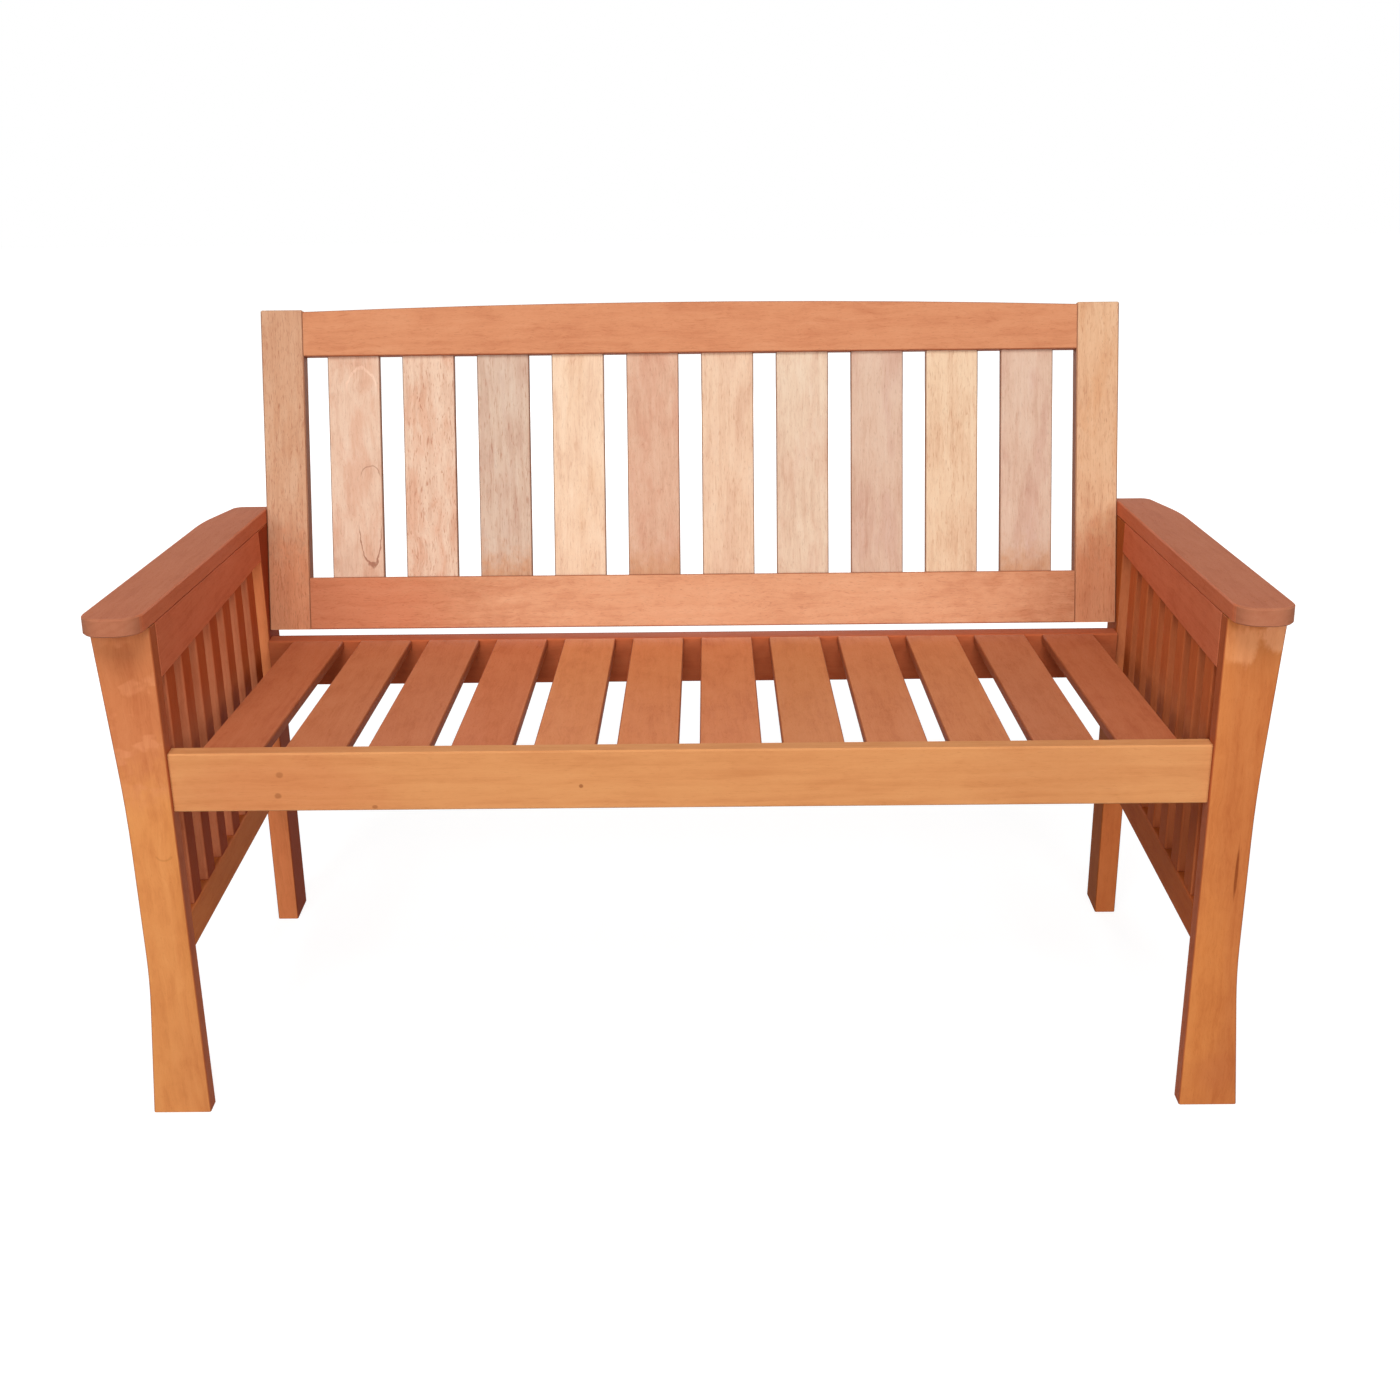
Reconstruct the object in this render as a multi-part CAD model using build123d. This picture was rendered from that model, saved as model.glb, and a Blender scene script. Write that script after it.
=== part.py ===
from build123d import *
from math import atan2, cos, radians, sin, tan
import os

# A two-seat slatted hardwood settle with arms, in millimetres.
# X runs across, left and right being as seen from the front, Y runs front to back and Z is up.
# The pieces are placed from the front legs' front face, at Y = 0, and from the floor, at Z = 0.
# When they are written, they all move along Y by one length, so that the origin is the floor
# point under the middle of the whole settle.

# Room between the two side frames
clear_width = 1090
# Front face of the front legs to rear face of the back legs
frame_depth = 516

# Height of the seat at its front, on which the arms and the back depend
seat_height = 435

# Wood joints: tenons are a share of their board's thickness, mortises have a glue gap
tenon_thickness_share = 1 / 3
tenon_shoulder = 8
glue_gap = 0.1
mortise_relief = 1
# The edges of every board are eased, by no more than a share of the board's thickness
edge_ease = 1.5
largest_ease_share = 0.3
# Rounded corners take no more than a share of the edge between them
largest_corner_share = 0.45

# Front leg: a board facing the front, straight inside, hollowed to a waist outside
front_leg_thickness = 22
front_leg_foot_width = 64.5
front_leg_waist_width = 49.5
# Heights where the outer edge turns, and the length of edge that each turn is eased over
front_leg_low_turn = 167
front_leg_low_turn_span = 66
front_leg_high_turn = 374
front_leg_high_turn_span = 98

# Back leg: a narrow post, deep from front to back
back_leg_width = 27
back_leg_depth = 55

# Arm: slopes down to the rear, and the legs and the upper side rail are cut to its underside.
# The legs' stub tenons go up into it.
arm_rise = 160.2
arm_fall_angle = 3.4
arm_thickness = 19
arm_width = 62
arm_front_overhang = 36
arm_rear_overhang = 10
arm_front_radius = 26
arm_taper = 19
arm_taper_length = 96
arm_taper_turn_span = 60
arm_rear_outer_radius = 14
arm_rear_inner_radius = 3
arm_tenon_height = 10
arm_tenon_width_share = 0.65

# Side rails, flush with the inner faces of the legs
side_rail_thickness = 24
lower_rail_bottom = 200.5
lower_rail_height = 43
upper_rail_front_height = 60.4
upper_rail_rear_height = 39.3
side_tenon_into_front_leg = 12
side_tenon_into_back_leg = 25

# Side slats, set a little back from the rails' inner faces, with more room at the back leg
side_slat_count = 7
side_slat_width = 31
side_slat_thickness = 12
side_slat_front_gap = 16.5
side_slat_rear_gap = 42.3
side_slat_setback = 1.5
side_slat_tenon_length = 14

# Seat rails: the front one set back from the legs' front faces, the back one standing in front
# of the back legs, its top level with the slats that meet it
front_rail_height = 66.2
front_rail_thickness = 19
front_rail_setback = 6
back_rail_height = 60
back_rail_thickness = 25
back_rail_step = 6
# Each rail end has a tenon near its top and a bolt near its bottom
rail_tenon_height = 24
rail_tenon_length = 12
rail_bolt_height = 16

# Seat slats, falling to the rear between the two seat rails
seat_fall_angle = 4
seat_slat_count = 12
seat_slat_width = 65.5
seat_slat_thickness = 12
seat_end_gap = 31
seat_slat_drop = 1
seat_slat_tenon_length = 12
seat_slat_tenon_width_share = 0.7

# Back panel, leaning between the side frames. Its foot is a step behind the back legs' front
# faces, and a gap above the seat back rail.
back_lean_angle = 16
back_foot_step = 6.2
back_foot_gap = 11.7
back_length = 406
back_thickness = 24
back_side_clearance = 0.3
stile_width = 53.3
bottom_rail_height = 66.6
top_rail_end_height = 55.8
top_rail_end_drop = 2.3
top_rail_rise = 7.9
back_slat_count = 10
back_slat_width = 66.5
back_slat_thickness = 11
back_slat_tenon_length = 14
slat_tenon_width_share = 0.7

# Cap bolts with square nuts, which hold the seat and the back to the side frames
bolt_radius = 3
bolt_hole_gap = 0.25
bolt_head_radius = 5
bolt_head_height = 6
bolt_head_socket_radius = 2.5
bolt_head_socket_depth = 3
counterbore_gap = 0.5
counterbore_extra_depth = 1
bolt_past_nut = 6
nut_side = 10
nut_thickness = 5
nut_gap = 0.15
nut_thread_gap = 0.1
rail_nut_inset = 35
stile_nut_inset = 22
# Wood left between the bolts' tips and the tenons of the back panel's rails
wood_at_bolt_tip = 7.5
# Height of a stile's lower bolt, and how far its upper bolt is from the back leg's rear face
stile_low_bolt_height = 35
stile_high_bolt_inset = 10.2

# Worked out from the sizes above
half_clear = clear_width / 2
back_leg_front = frame_depth - back_leg_depth
arm_slope = tan(radians(arm_fall_angle))
seat_slope = tan(radians(seat_fall_angle))
arm_top_height = seat_height + arm_rise
# Height of the arm's underside at the front legs' front face, Y = 0
underside_front = arm_top_height - arm_thickness / cos(radians(arm_fall_angle))
# Larger than any piece, for the blocks that trim the pieces' ends
trim_size = clear_width + frame_depth

# The arm lies in its own plane, whose Z = 0 is the arm's top face
arm_place = Pos(0, 0, arm_top_height) * Rot(-arm_fall_angle, 0, 0)
arm_underside = arm_place * Pos(0, 0, -arm_thickness)
over_the_underside = arm_underside * Box(
    trim_size, trim_size, trim_size, align=(Align.CENTER, Align.CENTER, Align.MIN)
)

# Seat rails and the slats' line between them
front_rail_rear = front_rail_setback + front_rail_thickness
back_rail_front = back_leg_front - back_rail_step
back_rail_rear = back_rail_front + back_rail_thickness
seat_slat_front_top = seat_height - seat_slat_drop
back_rail_top = seat_slat_front_top - seat_slope * (back_rail_front - front_rail_rear)

# The back panel is built upright in its own frame: X across, Y = 0 its front face, Z = 0 its foot
back_front_y = back_leg_front + back_foot_step
back_place = Pos(0, back_front_y, back_rail_top + back_foot_gap) * Rot(-back_lean_angle, 0, 0)

# Along Y, the whole settle reaches from the arm's front underside to the crest of the back
def tilted_reach(angle, along, across):
    """How far an eased corner reaches, some way along a tilted board and across its thickness."""
    tilt = radians(angle)
    eased_along = (along - edge_ease) * sin(tilt) + across * cos(tilt)
    eased_across = along * sin(tilt) + (across - edge_ease) * cos(tilt)
    return max(eased_along, eased_across)


crest_height = back_length - top_rail_end_drop + top_rail_rise
front_reach = tilted_reach(arm_fall_angle, arm_thickness, arm_front_overhang)
back_reach = back_front_y + tilted_reach(back_lean_angle, crest_height, back_thickness)
to_origin = Pos(0, (front_reach - back_reach) / 2, 0)


def write(name, shape):
    """Put a piece in the settle's own frame and write it to its file."""
    export_step(to_origin * shape, f"parts/{name}.step")


def write_pair(name, right_shape):
    """Write a right-hand piece, and its mirror image as the left-hand one."""
    write(f"right_{name}", right_shape)
    write(f"left_{name}", mirror(right_shape, about=Plane.YZ))


def both_sides(right_shapes):
    """The right-hand solids and their mirror images, in one list."""
    return right_shapes + [mirror(shape, about=Plane.YZ) for shape in right_shapes]


def board(plane, width, thickness, length):
    """A straight board along the plane's normal, with eased long edges."""
    ease = min(edge_ease, largest_ease_share * min(width, thickness))
    section = chamfer(Rectangle(width, thickness).vertices(), ease)
    return extrude(plane * section, length)


def tenon(plane, width, thickness, length):
    """A square bar along the plane's normal, whose ends are the tenons of a board."""
    return extrude(plane * Rectangle(width, thickness), length)


def mortise(plane, width, thickness, length):
    """The space cut for such a bar, with its glue gap and its relief beyond both ends."""
    start = plane.offset(-mortise_relief)
    section = Rectangle(width + 2 * glue_gap, thickness + 2 * glue_gap)
    return extrude(start * section, length + 2 * mortise_relief)


def rod(start_x, end_x, y, z, radius):
    """A round bar along X, between two places."""
    return Pos((start_x + end_x) / 2, y, z) * Rot(0, 90, 0) * Cylinder(radius, abs(end_x - start_x))


def underside_height(y):
    """Height of the arm's underside above a place along Y."""
    return underside_front - arm_slope * y


# Front leg
def front_leg_outline():
    """The leg's front view: straight inside; outside a flared foot, a waist, and a top as wide as the arm."""
    foot = (half_clear + front_leg_foot_width, 0)
    low_turn = (half_clear + front_leg_waist_width, front_leg_low_turn)
    high_turn = (half_clear + front_leg_waist_width, front_leg_high_turn)
    top = (half_clear + arm_width, underside_front)
    low_angle = abs(atan2(foot[0] - low_turn[0], front_leg_low_turn))
    high_angle = abs(atan2(top[0] - high_turn[0], underside_front - front_leg_high_turn))
    low_radius = front_leg_low_turn_span / 2 / tan(low_angle / 2)
    high_radius = front_leg_high_turn_span / 2 / tan(high_angle / 2)
    outer_edge = FilletPolyline(foot, low_turn, high_turn, top, radius=(low_radius, high_radius))
    inner_edge = Polyline(top, (half_clear, underside_front), (half_clear, 0), foot)
    return make_face(outer_edge + inner_edge)


def front_leg_blank():
    """The hollowed board with its front and rear edges eased, before its top is cut."""
    leg = extrude(Plane.XZ * front_leg_outline(), -front_leg_thickness)
    front = leg.faces().sort_by(Axis.Y)[0]
    rear = leg.faces().sort_by(Axis.Y)[-1]
    rim = front.edges() + rear.edges()
    ends = rim.filter_by(Axis.X)
    return chamfer([edge for edge in rim if edge not in ends], edge_ease)


# Side rails: each is one board with a level bar through it, whose ends are its two tenons
side_rail_x = half_clear + side_rail_thickness / 2
side_tenon_start = front_leg_thickness - side_tenon_into_front_leg
side_tenon_length = back_leg_front + side_tenon_into_back_leg - side_tenon_start
side_tenon_thickness = side_rail_thickness * tenon_thickness_share
side_rail_length = back_leg_front - front_leg_thickness

lower_rail_middle = lower_rail_bottom + lower_rail_height / 2
lower_tenon_height = lower_rail_height - 2 * tenon_shoulder
upper_rail_front_bottom = underside_height(front_leg_thickness) - upper_rail_front_height
upper_rail_rear_bottom = underside_height(back_leg_front) - upper_rail_rear_height
upper_tenon_bottom = max(upper_rail_front_bottom, upper_rail_rear_bottom) + tenon_shoulder
upper_tenon_top = underside_height(back_leg_front) - tenon_shoulder
upper_tenon_height = upper_tenon_top - upper_tenon_bottom
upper_tenon_middle = (upper_tenon_top + upper_tenon_bottom) / 2


def side_tenon_plane(height):
    """Where a side rail's bar starts, inside the front leg."""
    return Plane((side_rail_x, side_tenon_start, height), x_dir=(0, 0, 1), z_dir=(0, 1, 0))


side_tenons = [
    (side_tenon_plane(lower_rail_middle), lower_tenon_height, side_tenon_thickness, side_tenon_length),
    (side_tenon_plane(upper_tenon_middle), upper_tenon_height, side_tenon_thickness, side_tenon_length),
]


def upper_rail_blank():
    """The tapered rail: its underside nearly level, its top cut to the arm."""
    outline = Polyline(
        (front_leg_thickness, upper_rail_front_bottom),
        (back_leg_front, upper_rail_rear_bottom),
        (back_leg_front, underside_front),
        (front_leg_thickness, underside_front),
        close=True,
    )
    rail = extrude(Plane.YZ.offset(half_clear) * make_face(outline), side_rail_thickness)
    underside = rail.faces().sort_by(Axis.Z)[0]
    lower_edges = underside.edges().sort_by(SortBy.LENGTH)[-2:]
    ease = min(edge_ease, largest_ease_share * side_rail_thickness)
    return chamfer(lower_edges, ease) - over_the_underside


# Side slats: each stands in mortises in both side rails
side_slat_x = half_clear + side_slat_setback + side_slat_thickness / 2
side_slat_start = front_leg_thickness + side_slat_front_gap + side_slat_width / 2
side_slat_end = back_leg_front - side_slat_rear_gap - side_slat_width / 2
side_slat_pitch = (side_slat_end - side_slat_start) / (side_slat_count - 1)
side_slat_tenon_thickness = side_slat_thickness * tenon_thickness_share
side_slat_tenon_width = side_slat_width * slat_tenon_width_share
lower_rail_top = lower_rail_bottom + lower_rail_height
upper_rail_slope = (upper_rail_front_bottom - upper_rail_rear_bottom) / side_rail_length


def side_slat_middle(number):
    """Place along Y of a slat's centre line, counted from the front."""
    return side_slat_start + number * side_slat_pitch


def upper_rail_bottom_at(y):
    """Height of the upper rail's underside above a point along Y."""
    return upper_rail_front_bottom - upper_rail_slope * (y - front_leg_thickness)


def side_slat_tenon(number):
    """Where a slat's bar starts, in the lower rail, and how large it is."""
    y = side_slat_middle(number)
    start = lower_rail_top - side_slat_tenon_length
    plane = Plane((side_slat_x, y, start), x_dir=(0, 1, 0), z_dir=(0, 0, 1))
    length = upper_rail_bottom_at(y) + side_slat_tenon_length - start
    return plane, side_slat_tenon_width, side_slat_tenon_thickness, length


def side_slat(number):
    """One side slat, its head cut to the upper rail's slope, with its two tenons."""
    y = side_slat_middle(number)
    foot = Plane((side_slat_x, y, lower_rail_top), x_dir=(0, 1, 0), z_dir=(0, 0, 1))
    slat = board(foot, side_slat_width, side_slat_thickness, underside_front - lower_rail_top)
    head = Polyline(
        (front_leg_thickness, upper_rail_front_bottom),
        (back_leg_front, upper_rail_rear_bottom),
        (back_leg_front, arm_top_height),
        (front_leg_thickness, arm_top_height),
        close=True,
    )
    over_the_head = extrude(Plane.YZ.offset(half_clear) * make_face(head), side_rail_thickness)
    return slat - over_the_head + tenon(*side_slat_tenon(number))


# Arm
def arm_outline():
    """The arm from above: rounded front corners, and a tapered outer rear corner."""
    inner = half_clear
    outer = half_clear + arm_width
    front = -arm_front_overhang
    rear = (frame_depth + arm_rear_overhang) / cos(radians(arm_fall_angle))
    taper_angle = abs(atan2(arm_taper, arm_taper_length))
    taper_radius = arm_taper_turn_span / 2 / tan(taper_angle / 2)
    front_radius = min(arm_front_radius, largest_corner_share * arm_width)
    corners = [
        (inner, front),
        (outer, front),
        (outer, rear - arm_taper_length),
        (outer - arm_taper, rear),
        (inner, rear),
    ]
    radii = [
        front_radius,
        front_radius,
        taper_radius,
        arm_rear_outer_radius,
        arm_rear_inner_radius,
    ]
    return make_face(FilletPolyline(*corners, radius=radii, close=True))


def arm_blank():
    """The arm in its own plane, its rims eased above and below."""
    arm = extrude(arm_outline(), -arm_thickness)
    top = arm.faces().sort_by(Axis.Z)[-1]
    underside = arm.faces().sort_by(Axis.Z)[0]
    return chamfer(top.edges() + underside.edges(), edge_ease)


def arm_tenon(x, y, width, depth):
    """Where the upright bar of a leg's stub tenon starts, inside the leg, and how large it is."""
    start = underside_height(y) - arm_tenon_height
    return Plane((x, y, start), x_dir=(1, 0, 0), z_dir=(0, 0, 1)), width, depth, 2 * arm_tenon_height


front_arm_tenon = arm_tenon(
    half_clear + arm_width / 2,
    front_leg_thickness / 2,
    arm_width * arm_tenon_width_share,
    front_leg_thickness * tenon_thickness_share,
)
back_arm_tenon = arm_tenon(
    half_clear + back_leg_width / 2,
    back_leg_front + back_leg_depth / 2,
    back_leg_width * tenon_thickness_share,
    back_leg_depth * arm_tenon_width_share,
)


# Seat rails: each is one board, with a bar through it whose ends are its two tenons
front_rail_bottom = seat_height - front_rail_height
back_rail_bottom = back_rail_top - back_rail_height
# The tenons and bolts lie in the middle of the thickness that a rail shares with its leg
front_rail_joint_y = (front_rail_setback + front_leg_thickness) / 2
back_rail_joint_y = (back_leg_front + back_rail_rear) / 2


def seat_rail(front_y, thickness, bottom, height):
    """A rail across the settle, from one side frame to the other."""
    middle = (-half_clear, front_y + thickness / 2, bottom + height / 2)
    return board(Plane(middle, x_dir=(0, 0, 1), z_dir=(1, 0, 0)), height, thickness, clear_width)


def seat_rail_tenon(joint_y, thickness, top):
    """Where a seat rail's bar starts, in the left leg, and how large it is."""
    start = (-half_clear - rail_tenon_length, joint_y, top - tenon_shoulder - rail_tenon_height / 2)
    plane = Plane(start, x_dir=(0, 0, 1), z_dir=(1, 0, 0))
    length = clear_width + 2 * rail_tenon_length
    return plane, rail_tenon_height, thickness * tenon_thickness_share, length


front_rail_tenon = seat_rail_tenon(front_rail_joint_y, front_rail_thickness, seat_height)
back_rail_tenon = seat_rail_tenon(back_rail_joint_y, back_rail_thickness, back_rail_top)


# Seat slats: built along their own falling line, and cut square to the floor at the rails
seat_slat_reach = half_clear - seat_end_gap - seat_slat_width / 2
seat_slat_pitch = 2 * seat_slat_reach / (seat_slat_count - 1)
seat_slat_tenon_width = seat_slat_width * seat_slat_tenon_width_share
seat_slat_tenon_thickness = seat_slat_thickness * tenon_thickness_share
between_seat_rails = Pos(0, (front_rail_rear + back_rail_front) / 2, seat_height) * Box(
    trim_size, back_rail_front - front_rail_rear, trim_size
)


def seat_line(x, run_back):
    """A plane across a slat's middle line, some way in front of where the slat starts."""
    fall = radians(seat_fall_angle)
    start_y = front_rail_rear - run_back * cos(fall)
    middle_z = seat_slat_front_top - seat_slat_thickness / 2 / cos(fall)
    start_z = middle_z + run_back * sin(fall)
    return Plane((x, start_y, start_z), x_dir=(1, 0, 0), z_dir=(0, cos(fall), -sin(fall)))


def seat_slat_x(number):
    """Centre of a seat slat, counted from the left."""
    return number * seat_slat_pitch - seat_slat_reach


def seat_slat_tenon(number):
    """Where a seat slat's bar starts, in the front rail, and how large it is."""
    span = (back_rail_front - front_rail_rear) / cos(radians(seat_fall_angle))
    length = span + 2 * seat_slat_tenon_length
    plane = seat_line(seat_slat_x(number), seat_slat_tenon_length)
    return plane, seat_slat_tenon_width, seat_slat_tenon_thickness, length


def seat_slat(number):
    """One seat slat with its two tenons."""
    start = seat_line(seat_slat_x(number), seat_slat_thickness)
    length = back_rail_rear - front_rail_setback
    slat = board(start, seat_slat_width, seat_slat_thickness, length) & between_seat_rails
    return slat + tenon(*seat_slat_tenon(number))


# Back panel, in its own frame
back_middle_y = back_thickness / 2
back_half_width = half_clear - back_side_clearance
between_stiles = 2 * (back_half_width - stile_width)
stile_x = back_half_width - stile_width / 2
back_tenon_thickness = back_thickness * tenon_thickness_share
stile_tenon_length = stile_width - stile_nut_inset - bolt_past_nut - wood_at_bolt_tip
top_rail_end_top = back_length - top_rail_end_drop
top_rail_bottom = top_rail_end_top - top_rail_end_height
back_slat_space = between_stiles / (back_slat_count + 1) - back_slat_width * back_slat_count / (
    back_slat_count + 1
)
back_slat_tenon_thickness = back_slat_thickness * tenon_thickness_share
back_slat_tenon_width = back_slat_width * slat_tenon_width_share


def stile_tenon(middle_z, height):
    """Where a back rail's bar starts, in the left stile, and how large it is."""
    start = (-between_stiles / 2 - stile_tenon_length, back_middle_y, middle_z)
    plane = Plane(start, x_dir=(0, 0, 1), z_dir=(1, 0, 0))
    return plane, height, back_tenon_thickness, between_stiles + 2 * stile_tenon_length


bottom_rail_tenon = stile_tenon(bottom_rail_height / 2, bottom_rail_height - 2 * tenon_shoulder)
top_rail_tenon = stile_tenon(
    top_rail_bottom + top_rail_end_height / 2, top_rail_end_height - 2 * tenon_shoulder
)


def top_rail_blank():
    """The top rail: straight below, gently arched above, its four long edges eased."""
    left = -between_stiles / 2
    right = between_stiles / 2
    arch = ThreePointArc((left, top_rail_end_top), (0, crest_height), (right, top_rail_end_top))
    sides = Polyline(
        (right, top_rail_end_top), (right, top_rail_bottom), (left, top_rail_bottom), (left, top_rail_end_top)
    )
    rail = extrude(Plane.XZ * make_face(arch + sides), -back_thickness)
    long_edges = rail.edges().sort_by(SortBy.LENGTH)[-4:]
    return chamfer(long_edges, edge_ease)


def back_slat_x(number):
    """Centre of a back slat, counted from the left, with the same space beside every slat."""
    first = -between_stiles / 2 + back_slat_space + back_slat_width / 2
    return first + number * (back_slat_width + back_slat_space)


def back_slat_tenon(number):
    """Where a back slat's bar starts, in the bottom rail, and how large it is."""
    start = bottom_rail_height - back_slat_tenon_length
    plane = Plane((back_slat_x(number), back_middle_y, start), x_dir=(1, 0, 0), z_dir=(0, 0, 1))
    length = top_rail_bottom + back_slat_tenon_length - start
    return plane, back_slat_tenon_width, back_slat_tenon_thickness, length


def back_slat(number):
    """One back slat, in the middle of the rails' thickness, with its two tenons."""
    foot = Plane(
        (back_slat_x(number), back_middle_y, bottom_rail_height), x_dir=(1, 0, 0), z_dir=(0, 0, 1)
    )
    slat = board(foot, back_slat_width, back_slat_thickness, top_rail_bottom - bottom_rail_height)
    return slat + tenon(*back_slat_tenon(number))


# Cap bolts run inwards along X, through a square nut in a pocket
def cap_bolt(head_seat, y, z, nut_x):
    """A bolt whose head sits on a seat at the outer side, with a hexagon socket in the head."""
    shank = rod(nut_x - bolt_past_nut, head_seat, y, z, bolt_radius)
    head = rod(head_seat, head_seat + bolt_head_height, y, z, bolt_head_radius)
    socket_mouth = Plane((head_seat + bolt_head_height, y, z), x_dir=(0, 0, 1), z_dir=(-1, 0, 0))
    socket = extrude(socket_mouth * RegularPolygon(bolt_head_socket_radius, 6), bolt_head_socket_depth)
    return shank + head - socket


def bolt_space(head_seat, y, z, nut_x):
    """The hole for a bolt, and the counterbore for its head, open to the outside."""
    tip = nut_x - bolt_past_nut - bolt_hole_gap
    mouth = half_clear + front_leg_foot_width + counterbore_extra_depth
    hole = rod(tip, head_seat, y, z, bolt_radius + bolt_hole_gap)
    return hole + rod(head_seat, mouth, y, z, bolt_head_radius + counterbore_gap)


def square_nut(nut_x, y, z):
    """A square steel nut on its bolt."""
    return Pos(nut_x, y, z) * Box(nut_thickness, nut_side, nut_side) - rod(
        nut_x - nut_thickness, nut_x + nut_thickness, y, z, bolt_radius + nut_thread_gap
    )


def nut_pocket(nut_x, y, z, rear_face):
    """The pocket that a square nut is dropped into, from the hidden rear face of its piece."""
    bottom = y - nut_side / 2 - nut_gap
    return Pos(nut_x, (bottom + rear_face) / 2, z) * Box(
        nut_thickness + 2 * nut_gap, rear_face - bottom, nut_side + 2 * nut_gap
    )


counterbore_depth = bolt_head_height + counterbore_extra_depth
front_head_seat = half_clear + front_leg_waist_width - counterbore_depth
back_head_seat = half_clear + back_leg_width - counterbore_depth
rail_nut_x = half_clear - rail_nut_inset
stile_nut_x = half_clear - stile_nut_inset

front_bolt = (front_head_seat, front_rail_joint_y, front_rail_bottom + rail_bolt_height, rail_nut_x)
back_bolt = (back_head_seat, back_rail_joint_y, back_rail_bottom + rail_bolt_height, rail_nut_x)

# The stiles' bolts are placed in the back panel's own frame, in the middle of its thickness
high_bolt_run = frame_depth - stile_high_bolt_inset - back_front_y
stile_high_bolt_height = high_bolt_run / sin(radians(back_lean_angle)) - back_middle_y / tan(
    radians(back_lean_angle)
)
stile_bolts = [
    (back_head_seat, back_middle_y, height, stile_nut_x)
    for height in (stile_low_bolt_height, stile_high_bolt_height)
]


os.makedirs("parts", exist_ok=True)

# Side frames
side_mortises = [mortise(*size) for size in side_tenons]
side_slat_mortises = [mortise(*side_slat_tenon(number)) for number in range(side_slat_count)]

front_leg = front_leg_blank() - over_the_underside + tenon(*front_arm_tenon)
front_leg = front_leg - side_mortises - mortise(*front_rail_tenon) - bolt_space(*front_bolt)
write_pair("front_leg", front_leg)

back_leg_foot = Plane(
    (half_clear + back_leg_width / 2, back_leg_front + back_leg_depth / 2, 0), z_dir=(0, 0, 1)
)
back_leg = board(back_leg_foot, back_leg_width, back_leg_depth, underside_front)
back_leg = back_leg - over_the_underside + tenon(*back_arm_tenon)
back_leg = back_leg - side_mortises - mortise(*back_rail_tenon) - bolt_space(*back_bolt)
write_pair("back_leg", back_leg - [back_place * bolt_space(*bolt) for bolt in stile_bolts])

lower_rail_start = Plane(
    (side_rail_x, front_leg_thickness, lower_rail_middle), x_dir=(0, 0, 1), z_dir=(0, 1, 0)
)
lower_rail = board(lower_rail_start, lower_rail_height, side_rail_thickness, side_rail_length)
write_pair("lower_side_rail", lower_rail + tenon(*side_tenons[0]) - side_slat_mortises)
write_pair("upper_side_rail", upper_rail_blank() + tenon(*side_tenons[1]) - side_slat_mortises)

for number in range(side_slat_count):
    write_pair(f"side_slat_{number + 1}", side_slat(number))

write_pair("arm", arm_place * arm_blank() - mortise(*front_arm_tenon) - mortise(*back_arm_tenon))

# Seat
seat_mortises = [mortise(*seat_slat_tenon(number)) for number in range(seat_slat_count)]
front_rail = seat_rail(front_rail_setback, front_rail_thickness, front_rail_bottom, front_rail_height)
front_rail = front_rail + tenon(*front_rail_tenon) - seat_mortises
front_rail_cuts = [bolt_space(*front_bolt), nut_pocket(rail_nut_x, *front_bolt[1:3], front_rail_rear)]
write("seat_front_rail", front_rail - both_sides(front_rail_cuts))

back_rail = seat_rail(back_rail_front, back_rail_thickness, back_rail_bottom, back_rail_height)
back_rail = back_rail + tenon(*back_rail_tenon) - seat_mortises
back_rail_cuts = [bolt_space(*back_bolt), nut_pocket(rail_nut_x, *back_bolt[1:3], back_rail_rear)]
write("seat_back_rail", back_rail - both_sides(back_rail_cuts))

for number in range(seat_slat_count):
    write(f"seat_slat_{number + 1}", seat_slat(number))

# Back
back_slat_mortises = [mortise(*back_slat_tenon(number)) for number in range(back_slat_count)]
stile_foot = Plane((stile_x, back_middle_y, 0), x_dir=(1, 0, 0), z_dir=(0, 0, 1))
stile = board(stile_foot, stile_width, back_thickness, back_length)
stile = chamfer(stile.faces().sort_by(Axis.Z)[-1].edges(), edge_ease)
stile = stile - mortise(*bottom_rail_tenon) - mortise(*top_rail_tenon)
for bolt in stile_bolts:
    stile = stile - bolt_space(*bolt) - nut_pocket(stile_nut_x, *bolt[1:3], back_thickness)
write_pair("back_stile", back_place * stile)

bottom_rail_start = Plane(
    (-between_stiles / 2, back_middle_y, bottom_rail_height / 2), x_dir=(0, 0, 1), z_dir=(1, 0, 0)
)
bottom_rail = board(bottom_rail_start, bottom_rail_height, back_thickness, between_stiles)
bottom_rail = bottom_rail + tenon(*bottom_rail_tenon) - back_slat_mortises
write("back_bottom_rail", back_place * bottom_rail)

top_rail = top_rail_blank() + tenon(*top_rail_tenon) - back_slat_mortises
write("back_top_rail", back_place * top_rail)

for number in range(back_slat_count):
    write(f"back_slat_{number + 1}", back_place * back_slat(number))

# Bolts and nuts, each kind a group of separate solids
back_panel_bolts = [back_place * cap_bolt(*bolt) for bolt in stile_bolts]
write("seat_rail_bolts", Compound(both_sides([cap_bolt(*front_bolt), cap_bolt(*back_bolt)])))
write("back_panel_bolts", Compound(both_sides(back_panel_bolts)))

rail_nuts = [square_nut(rail_nut_x, *bolt[1:3]) for bolt in (front_bolt, back_bolt)]
stile_nuts = [back_place * square_nut(stile_nut_x, *bolt[1:3]) for bolt in stile_bolts]
write("square_nuts", Compound(both_sides(rail_nuts + stile_nuts)))
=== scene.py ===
import bpy
from math import cos, radians, sin
from mathutils import Matrix, Vector


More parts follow.
